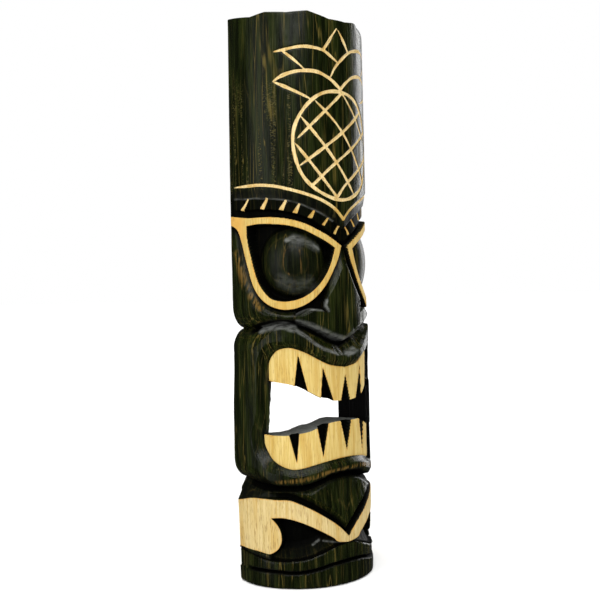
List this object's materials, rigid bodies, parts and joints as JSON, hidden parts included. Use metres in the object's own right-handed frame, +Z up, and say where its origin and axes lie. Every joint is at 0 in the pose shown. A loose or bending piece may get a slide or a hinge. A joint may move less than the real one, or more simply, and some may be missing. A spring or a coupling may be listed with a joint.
{
  "type": "tiki figure",
  "caption": "Half-log carved wooden tiki mask with large round eyes, an open toothed mouth, a pineapple on the brow and a ring hanger in its hollowed back.",
  "frame": {"origin": "centre of the foot's underside footprint, on the surface that the mask stands on", "axes": "+Z up along the log; the carved face looks along -Y; the sawn back faces +Y; +X is to the right of a viewer who faces the mask"},
  "size_m": [0.136, 0.077, 0.508],
  "materials": {
    "carved_wood": "soft pale wood stained near-black and lacquered semi-gloss, left bare straw-yellow in the gouged lines, eye rims, teeth and chin band",
    "zinc_plated_strap": "zinc-plated sheet steel, satin",
    "zinc_plated_wire": "zinc-plated round wire, satin",
    "zinc_plated_screw": "zinc-plated, pan head with a cross recess"
  },
  "bodies": {
    "mask": {"carved_body": "carved_wood", "hanger_strap": "zinc_plated_strap", "hanger_screws": "zinc_plated_screw"},
    "ring": {"hanger_ring": "zinc_plated_wire"}
  },
  "joints": [
    {"name": "ring_hinge", "type": "hinge", "parent": "mask", "child": "ring", "pos_m": [0, 0.0355, 0.472], "axis": [1, 0, 0], "range_deg": [0, 172]}
  ]
}
